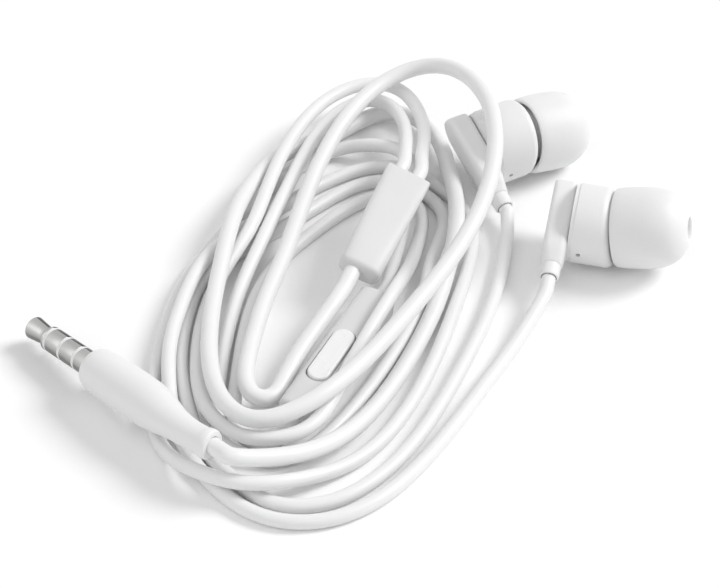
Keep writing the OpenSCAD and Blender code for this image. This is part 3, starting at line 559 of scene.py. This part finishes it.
def metal_finish(name, colour, rub, roughness, bump=0.2, painted_light=0.0):
    # the one amount sets both the painted dark reflection and the painted shading
    return finish_with(
        METAL_AND_PAINTED_LIGHT, name, bump, METAL_GRAIN,
        {"Colour": (*colour, 1), "Rub": (*rub, 1), "Roughness": roughness,
         "Painted Reflection": painted_light, "Falloff": painted_light}, Metallic=1.0)


# The depth of the relief, in metres, and the clouding's tone as a share of the colour
PLASTIC_GRAIN, METAL_GRAIN = 0.00002, 0.00001
CLOUDED = 0.965
# How much rougher a rub is
RUB_ROUGHNESS = 0.2
# Where the pin's painted dark reflection runs, as a direction out from its X axis, and its edges in degrees
DARK_REFLECTION_SIDE = (0, -0.53, 0.848)
DARK_REFLECTION_HALF, DARK_REFLECTION_FADES = 11, 16
DARK_REFLECTION_TONE = 0.02
# Stops of (place, brightness) of the pin's painted shading and highlight, from the side opposite the painted
# reflection to the reflection's own side
METAL_PAINTED_SHADE = [(0.0, 0.35), (0.25, 0.5), (0.42, 0.8), (0.6, 1.0), (0.78, 0.85), (0.94, 0.7)]
SKIN = skin_group()
METAL_AND_PAINTED_LIGHT = metal_and_painted_light_group()
CASE = plastic_finish("case_white", 0.85, 0.42)
GLOSS = plastic_finish("button_white", 0.86, 0.28, bump=0.1)
SOFT = plastic_finish("soft_white", 0.86, 0.5)
SHELL = plastic_finish("shell_white", 0.7, 0.3, bump=0.1)
SPLIT = plastic_finish("splitter_white", 0.73, 0.5)
JACKET = plastic_finish("cord_white", 0.87, 0.4, bump=0.15, grain=5000)
SILICONE = plastic_finish(
    "silicone_white", 0.88, 0.48, bump=0.12, Subsurface_Weight=0.6,
    Subsurface_Scale=0.0015, Subsurface_Radius=(1, 1, 1))
INSULATOR = plastic_finish("insulator_white", 0.86, 0.35, bump=0.1)
# the pin's contacts carry the painted dark reflection and the painted shading
CONTACT = metal_finish("contact_metal", (0.7, 0.7, 0.69), (0.46, 0.46, 0.45), 0.2, painted_light=0.95)
STEEL = metal_finish("plain_steel", (0.5, 0.5, 0.52), (0.35, 0.35, 0.36), 0.3)
MAGNET = metal_finish("nickel", (0.48, 0.48, 0.5), (0.4, 0.4, 0.42), 0.2)
COPPER = metal_finish("copper_wire", (0.75, 0.35, 0.18), (0.55, 0.22, 0.1), 0.3)
MESH = metal_finish("fine_mesh", (0.25, 0.25, 0.26), (0.1, 0.1, 0.11), 0.45, bump=0.9)
BLACK = plastic_finish("black_plastic", 0.03, 0.45)
BOARD = finish_with(
    SKIN, "green_board", 0.2, PLASTIC_GRAIN,
    {"Colour": (0.02, 0.16, 0.06, 1), "Shade": (0.015, 0.12, 0.05, 1), "Roughness": 0.35})
FILM = finish_with(
    SKIN, "speaker_film", 0.2, PLASTIC_GRAIN,
    {"Colour": (0.55, 0.47, 0.28, 1), "Shade": (0.48, 0.4, 0.22, 1), "Roughness": 0.2})

# ---- Pieces ------------------------------------------------------------------------------------


def put(piece, body, slot, *stands_for):
    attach(piece, body)
    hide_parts(*stands_for)
    return piece


UP_X, DOWN_X, DOWN_THE_STEM = (1, 0, 0), (-1, 0, 0), (0, -1, 0)
BUD_EXIT = (-BAR_T / 2, EXIT_Y, 0)
REMOTE_END = REMOTE_L / 2 + COLLAR_OUT
BRANCH_OUT = (SPLITTER_L / 2, BRANCH_GAP / 2, 0)
BRANCH_OUT_RIGHT = (SPLITTER_L / 2, -BRANCH_GAP / 2, 0)
# Each cord: where it starts, its route, where it ends, and its diameter
ROUTES = {
    "main_cord": (
        lead(SPLITTER, (-SPLITTER_L / 2, MAIN_EXIT_Y, 0), DOWN_X, MAIN_D), MAIN_ROUTE,
        lead(PLUG, (-GRIP_L, 0, 0), DOWN_X, MAIN_D), MAIN_D),
    "left_cord": (
        lead(SPLITTER, BRANCH_OUT, UP_X, BRANCH_D), LEFT_ROUTE,
        lead(LEFT, BUD_EXIT, DOWN_THE_STEM, BRANCH_D * LEFT_LEAD), BRANCH_D),
    "right_cord_upper": (
        lead(SPLITTER, BRANCH_OUT_RIGHT, UP_X, BRANCH_D), RIGHT_UPPER_ROUTE,
        lead(REMOTE, (-REMOTE_END, 0, 0), DOWN_X, BRANCH_D), BRANCH_D),
    "right_cord_lower": (
        lead(REMOTE, (REMOTE_END, 0, 0), UP_X, BRANCH_D), RIGHT_LOWER_ROUTE,
        lead(RIGHT, BUD_EXIT, DOWN_THE_STEM, BRANCH_D), BRANCH_D),
}
cord_pieces, cord_lines = {}, {}
for name, (start, route, end, diameter) in ROUTES.items():
    line = cord_line(start, route, end)
    piece = finish_mesh(name + "_jacket", tube_mesh(line, diameter / 2), JACKET)
    cord_lines[name] = line
    cord_pieces[name] = put(piece, BODY, "cord_jacket", name)


def on_the_nozzle(bud, tilt):
    """The nozzle's own place: X along its bore."""
    return bud @ Matrix.Translation((NOZZLE_X, 0, 0)) @ Matrix.Rotation(math.radians(-tilt), 4, "Y")


def ear_tip(side, bud, tilt):
    """A silicone dome: skirt, rounded rim, and the tube that grips the nozzle."""
    rim, shoulder, front, radius, hole = 1.25, 4.7, 11.7, 5.8, 1.5
    # the dome would close a little beyond its front, where the opening cuts it
    spare, power, skin = 1.04, 3, 0.7
    reach = (front - shoulder) * spare

    def dome(s, inset=0.0):
        u = max(0.0, s - shoulder) / (reach - inset)
        return (radius - inset) * max(0.0, 1 - u**power) ** 0.5

    outer = [
        (rim + 0.1, radius - 0.65), (rim, radius - 0.5), (rim + 0.05, radius - 0.32),
        (rim + 0.25, radius - 0.22), (rim + 1.2, radius - 0.07)]
    steps = 26
    end = front - 0.12
    for k in range(steps + 1):
        s = shoulder + (end - shoulder) * math.sin(math.pi / 2 * k / steps)
        outer.append((s, dome(s)))
    outer += [(front - 0.02, hole + 0.3), (front - 0.05, hole + 0.1), (front - 0.3, hole)]
    # the tube inside, then the skirt's inner side
    inner = [
        (8.4, hole), (8.3, hole + 0.05), (8.3, 2.9), (rim + 0.65, 2.9), (rim + 0.5, 3.05),
        (rim + 0.5, 3.55), (rim + 0.65, 3.7), (8.2, 3.7), (8.8, 3.75), (9.3, 3.9)]
    inner += [(s, dome(s, skin)) for s in (9.1, 8.6, 7.8, 6.8, 5.8, 4.8)]
    inner += [(3.4, radius - 0.78), (rim + 0.25, radius - 0.88), (rim + 0.1, radius - 0.8)]
    mesh = turned_mesh(outer + inner, 96)
    piece = finish_mesh(side + "_tip_silicone", mesh, SILICONE, on_the_nozzle(bud, tilt), ROUNDED)
    put(piece, side + "_tip", "silicone", side + "_ear_tip")


def housing(side, bud, tilt):
    """The round shell with its vent hole, and the nozzle; shell front and nozzle both lean."""
    edge, cavity_end, cavity_r, ledge, ledge_r, bore_r = 1.3, 4.9, 4.8, 4.07, 4.4, 2.2
    shell = fillet([
        (SEAM_T, HOUSING_R, 0.12), (HOUSING_L, HOUSING_R, edge), (HOUSING_L, bore_r, 0),
        (cavity_end, bore_r, 0), (cavity_end, ledge_r, 0), (ledge, ledge_r, 0),
        (ledge, cavity_r, 0), (SEAM_T, cavity_r, 0)], 8)
    mesh = turned_mesh(shell, 96)
    # only the front leans, not the cavity
    lean = math.tan(math.radians(math.copysign(FRONT_LEAN, tilt)))
    spare = 0.05
    for vertex in mesh.verts:
        x, across = vertex.co.x / MM, math.hypot(vertex.co.y, vertex.co.z) / MM
        outside = across > ledge_r + spare or x > cavity_end + spare
        if x > HOUSING_L - edge - spare and outside:
            vertex.co.x -= vertex.co.z * lean
    piece = finish_mesh(side + "_shell", mesh, CASE, bud, CRISP)
    drill_l, vent_r, vent_x, vent_from = 2.5, 0.35, 1.7, -4.4
    drill = turned_mesh([(0, vent_r), (drill_l, vent_r)], 24, closed=False)
    vent_at = bud @ Matrix.Translation((vent_x, vent_from, 0)) @ Matrix.Rotation(-math.pi / 2, 4, "Z")
    vent = finish_mesh("vent_drill", drill, CASE, vent_at)
    cut(piece, vent)
    put(piece, BODY, "case_plastic", side + "_housing")
    start, end, outer_r, lip_r, spout_r = 0.6, 7.6, 2.5, 2.85, 1.7
    spout = fillet([
        (start, outer_r, 0), (6.6, outer_r, 0.1), (6.6, lip_r, 0.1), (7.2, lip_r, 0.15),
        (7.35, outer_r, 0.1), (end, outer_r, 0.15), (end, 2.05, 0), (7.3, 2.05, 0),
        (7.3, spout_r, 0), (start, spout_r, 0)], 4)
    nozzle = finish_mesh(side + "_spout", turned_mesh(spout, 64), CASE, on_the_nozzle(bud, tilt), CRISP)
    put(nozzle, BODY, "case_plastic", side + "_housing")


def back_bar(side, bud):
    """The upright bar behind the housing, which narrows towards the cord."""
    half_w, half_t = BAR_W / 2, BAR_T / 2
    # the arched top, thinner at its crown, with a section that turns from round to square
    crown_w, crown_edge, crown_share = 0.25, 0.7, 0.35
    crown_power, bar_power = 2.6, 5.5
    sections = []
    steps = 14
    for k in range(steps + 1):
        rise = math.pi / 2 * (1 - k / steps)
        y = BAR_TOP - half_w + half_w * math.sin(rise)
        w = max(crown_w, half_w * math.cos(rise))
        thin = half_t - crown_edge * (1 - min(1.0, math.cos(rise) / crown_share)) ** 2
        power = crown_power + (bar_power - crown_power) * min(1.0, 2 * k / steps)
        sections.append((y, w, thin, power))
    for y in (1.5, 0, -1.5, -3, -4.3):
        sections.append((y, half_w, half_t, bar_power))
    # then it narrows to a round end
    sections += [
        (-5.1, 2.71, 1.7, 5.2), (-5.9, 2.58, 1.69, 4.6), (-6.6, 2.36, 1.67, 4),
        (-7.2, 2.08, 1.63, 3.4), (-7.7, 1.82, 1.58, 2.9), (-8.1, 1.62, 1.54, 2.4),
        (-8.3, 1.54, 1.5, 2.2), (-BAR_DOWN, 1.45, 1.45, 2)]
    placed = [((-half_t, y, 0), w, t, p) for y, w, t, p in sections]
    mesh = lofted_mesh(placed, (0, 0, 1), (1, 0, 0))
    piece = finish_mesh(side + "_bar", mesh, CASE, bud, ROUNDED)
    put(piece, BODY, "case_plastic", side + "_back_bar")


def stem_neck(side, bud):
    """The soft sleeve that the cord leaves through, open at its end."""
    end = -EXIT_Y
    start, bore_r, mouth_l = BAR_DOWN - 0.5, 0.6, 0.8
    outline = fillet([
        (start, 1.4, 0), (BAR_DOWN + 0.1, 1.42, 0.05), (end - 0.4, 1.37, 0.1), (end, 1.34, 0.16),
        (end, 1.1, 0.06), (end - mouth_l, 1.04, 0), (end - mouth_l, bore_r, 0),
        (start, bore_r, 0)], 4)
    at = bud @ Matrix.Translation((-BAR_T / 2, 0, 0)) @ Matrix.Rotation(-math.pi / 2, 4, "Z")
    piece = finish_mesh(side + "_neck", turned_mesh(outline, 48), SOFT, at, ROUNDED)
    put(piece, BODY, "soft_plastic", side + "_stem_bushing")


BUDS = {"left": (LEFT, -NOZZLE_TILT), "right": (RIGHT, NOZZLE_TILT)}
for side, (bud, tilt) in BUDS.items():
    ear_tip(side, bud, tilt)
    housing(side, bud, tilt)
    back_bar(side, bud)
    stem_neck(side, bud)


def soft_box(name, length, width, height, powers, low_end, high_end, place, material, taper=1.0):
    """A rounded bar along X; each end has its own section and edge, and taper narrows the lower end."""
    sections = []
    steps = 6
    for end, radius in ((-1, low_end), (1, high_end)):
        marks = []
        for k in range(steps + 1):
            angle = math.pi / 2 * k / steps
            x = length / 2 - radius + radius * math.cos(angle)
            marks.append((end * x, radius * (1 - math.sin(angle))))
        if end > 0:
            marks.reverse()
        sections += marks
    lower, upper = sections[:steps + 1], sections[steps + 1:]
    middle = [(lower[-1][0] * (1 - t) + upper[0][0] * t, 0.0) for t in (0.2, 0.4, 0.6, 0.8)]
    rings = []
    for x, inset in lower + middle + upper:
        along = x / length + 0.5
        share = taper + (1 - taper) * along
        power = powers[0] + (powers[1] - powers[0]) * along
        rings.append(((x, 0, 0), width / 2 * share - inset, height / 2 * share - inset, power))
    mesh = lofted_mesh(rings, (0, 1, 0), (0, 0, 1))
    return finish_mesh(name, mesh, material, place, ROUNDED)


def remote():
    """The closed shell with its slot, and the pill button that moves in it."""
    power, low_edge, high_edge = 3.8, 0.8, 0.7
    shell = soft_box(
        "remote_shell", REMOTE_L, REMOTE_W, REMOTE_H, (power, power), low_edge, high_edge, REMOTE, SHELL)
    shift, button_l, button_w, gap, slot_floor, slot_top = 2.25, 10.8, 3.1, 0.2, 1.2, 3
    slot_levels = [(slot_floor, -gap), (slot_top, -gap)]
    at = REMOTE @ Matrix.Translation((-shift, 0, 0))
    slot_cutter = finish_mesh("slot_cutter", pill_mesh(button_l, button_w, slot_levels), SHELL, at)
    cut(shell, slot_cutter)
    put(shell, BODY, "gloss_white", "remote_front_shell", "remote_back_shell")
    foot, top = 0.9, REMOTE_H / 2 + 0.35
    # a rounded rim round a face that is slightly dished
    levels = [
        (foot, 0), (top - 0.3, 0), (top - 0.13, 0.04), (top - 0.03, 0.15), (top, 0.32),
        (top - 0.02, 0.7), (top - 0.05, 1.1), (top - 0.06, 1.5)]
    button = finish_mesh("button_cap", pill_mesh(button_l, button_w, levels), GLOSS, at, ROUNDED)
    put(button, "button", "gloss_white", "remote_button")


def splitter():
    """The flat block where the main cord branches: blunt below, square above, rolled a little."""
    roll, wider, taper = 6, 0.2, 0.9
    powers, low_edge, high_edge = (3.4, 12), 0.9, 0.08
    rolled = SPLITTER @ Matrix.Rotation(math.radians(roll), 4, "X")
    shell = soft_box(
        "splitter_body", SPLITTER_L, SPLITTER_W + wider, SPLITTER_H, powers, low_edge, high_edge,
        rolled, SPLIT, taper)
    put(shell, BODY, "soft_plastic", "splitter_shell")


def plug():
    """The moulded grip: thick behind the pin, then a slim neck and a collar at the cord."""
    back = -GRIP_L
    outline = [
        # the face round the pin, and its rounded edge
        (0.0, 1.8), (0.0, 2.2), (-0.05, 2.42), (-0.2, 2.62), (-0.45, 2.8), (-0.9, 2.95),
        (-1.6, 3.07), (-2.5, 3.15), (-4, 3.21), (-6, 3.25), (-9, 3.25), (-11.5, 3.19),
        # down to the neck
        (-13.4, 3.05), (-14.9, 2.8), (-16.4, 2.47), (-17.9, 2.18), (-19.6, 2.02), (-21.5, 1.96),
        # the collar and its mouth
        (back + 1.6, 1.95), (back + 1.4, 1.99), (back + 1.25, 2.05), (back + 0.6, 2.07),
        (back + 0.25, 2.03), (back + 0.08, 1.95), (back, 1.86), (back, 1.23), (back + 0.1, 1.2),
        (back + 0.8, 1.2), (back + 0.8, 0.4), (-1, 0.4), (-1, 1.78)]
    mesh = turned_mesh(outline, 72)
    # the neck bows sideways, so its end turns towards the cord; the bow is full at two thirds
    bend_from, bow = 10, 0.45
    bend_l = GRIP_L - bend_from
    whole = 27 / 4 * bow
    for vertex in mesh.verts:
        share = (-vertex.co.x / MM - bend_from) / bend_l
        if share > 0:
            slope = -whole * share * (2 - 3 * share) / bend_l
            vertex.co.x -= slope * vertex.co.y
            vertex.co.y += whole * share**2 * (1 - share) * MM
    put(finish_mesh("plug_grip", mesh, SOFT, PLUG, ROUNDED), BODY, "soft_plastic", "plug_overmould")


def contact(name, node, corners):
    piece = finish_mesh(name, turned_mesh(fillet(corners, 3), 64), CONTACT, PLUG, CRISP)
    put(piece, BODY, "contact", node)


def pin():
    """Four bright contacts in one line, parted by three white rings."""
    core, edge, half = 0.9, 0.05, INSULATOR_W / 2
    first = PIN_L - TIP_CONTACT_L
    second, third = first - RING_PITCH, first - 2 * RING_PITCH
    neck, flare = PIN_R * 0.76, PIN_R * 0.93
    contact("pin_tip", "plug_tip", [
        (first + half, core, 0), (first + half, PIN_R, edge), (first + 0.6, PIN_R, 0.25),
        (first + 1.2, neck, 0.3), (first + 1.6, neck, 0.5), (PIN_L - 0.85, flare, 0.12),
        (PIN_L - 0.3, flare * 0.6, 0.3), (PIN_L, 0.3, 0), (PIN_L, 0.02, 0), (first + 1, 0.02, 0)])
    for name, node, low, high in (
            ("pin_ring_1", "plug_ring_1", second + half, first - half),
            ("pin_ring_2", "plug_ring_2", third + half, second - half),
            ("pin_sleeve", "plug_sleeve", SLEEVE_BACK, third - half)):
        contact(name, node, [(low, core, 0), (low, PIN_R, edge), (high, PIN_R, edge), (high, core, 0)])
    mesh = bmesh.new()
    ring_r = PIN_R - 0.03
    for middle in (first, second, third):
        low, high = middle - half, middle + half
        ring = turned_mesh([(low, core), (low, ring_r), (high, ring_r), (high, core)], 64)
        data = bpy.data.meshes.new("ring")
        ring.to_mesh(data)
        ring.free()
        mesh.from_mesh(data)
        bpy.data.meshes.remove(data)
    put(finish_mesh("pin_insulators", mesh, INSULATOR, PLUG, CRISP), BODY, "insulator", "plug_insulators")


remote()
splitter()
plug()
pin()

# ---- Finishes of the pieces that stay as they are ----------------------------------------------

KEPT = {
    "rear_plate": CASE, "nozzle_mesh": MESH, "driver_frame": BLACK, "yoke": STEEL, "magnet": MAGNET,
    "top_plate": STEEL, "voice_coil": COPPER, "diaphragm": FILM, "terminal_board": BOARD,
    "inner_wires": COPPER,
    "remote_circuit_board": BOARD, "remote_dome_switch": STEEL, "remote_microphone": STEEL,
    "remote_cord_collars": SOFT, "splitter_crimp": STEEL,
    "plug_inner_mould": INSULATOR,
}
for name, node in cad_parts.items():
    finish = KEPT.get(name) or KEPT.get(name.split("_", 1)[1])
    if finish:
        node.data.materials.clear()
        node.data.materials.append(finish)

# ---- Floor and light ---------------------------------------------------------------------------

# In metres, from the middle of the sheet to its edge
FLOOR_REACH = 1.5
FLOOR_GLOW = 0.04
# The surround's strength on the object, and as it is seen or mirrored
SURROUND, SEEN_WHITE = 0.49, 1.0
# Each lamp: the way towards it, its energy, and its spread in degrees
SUNS = {"soft_window": ((0.7, 0.18, 0.64), 1.85, 24), "wide_fill": ((-0.5, -0.35, 0.72), 0.62, 80)}


def add_floor():
    """A pale sheet that shows white where no shadow falls."""
    mesh = bmesh.new()
    bmesh.ops.create_grid(mesh, x_segments=1, y_segments=1, size=FLOOR_REACH)
    data = bpy.data.meshes.new("floor")
    mesh.to_mesh(data)
    mesh.free()
    floor = bpy.data.objects.new("floor", data)
    bpy.context.scene.collection.objects.link(floor)
    material = bpy.data.materials.new("pale_sheet")
    material.use_nodes = True
    nodes, links = material.node_tree.nodes, material.node_tree.links
    shader = nodes["Principled BSDF"]
    shader.inputs["Roughness"].default_value = 0.9
    shader.inputs["Specular IOR Level"].default_value = 0.1
    shader.inputs["Base Color"].default_value = grey(0.95)
    shader.inputs["Emission Color"].default_value = grey(1)
    seen = nodes.new("ShaderNodeLightPath")
    glow = nodes.new("ShaderNodeMath")
    glow.operation = "MULTIPLY"
    glow.inputs[1].default_value = FLOOR_GLOW
    links.new(seen.outputs["Is Camera Ray"], glow.inputs[0])
    links.new(glow.outputs[0], shader.inputs["Emission Strength"])
    data.materials.append(material)


def add_sun(name, towards, energy, spread):
    sun = bpy.data.lights.new(name, "SUN")
    sun.energy = energy
    sun.angle = math.radians(spread)
    lamp = bpy.data.objects.new(name, sun)
    lamp.rotation_euler = Vector(towards).to_track_quat("Z", "Y").to_euler()
    bpy.context.scene.collection.objects.link(lamp)


def add_light():
    """A soft window on the right, a weak wide fill from the left, and an even pale surround."""
    for name, (towards, energy, spread) in SUNS.items():
        add_sun(name, towards, energy, spread)
    world = bpy.data.worlds.new("studio")
    world.use_nodes = True
    nodes, links = world.node_tree.nodes, world.node_tree.links
    back = nodes["Background"]
    back.inputs["Color"].default_value = grey(1)
    path = nodes.new("ShaderNodeLightPath")
    strength = nodes.new("ShaderNodeMix")
    strength.inputs["A"].default_value = SURROUND
    strength.inputs["B"].default_value = SEEN_WHITE
    bright = nodes.new("ShaderNodeMath")
    bright.operation = "MAXIMUM"
    links.new(path.outputs["Is Camera Ray"], bright.inputs[0])
    links.new(path.outputs["Is Glossy Ray"], bright.inputs[1])
    links.new(bright.outputs[0], strength.inputs[0])
    links.new(strength.outputs[0], back.inputs["Strength"])
    bpy.context.scene.world = world


add_floor()
add_light()
bpy.context.scene.view_settings.view_transform = "Standard"
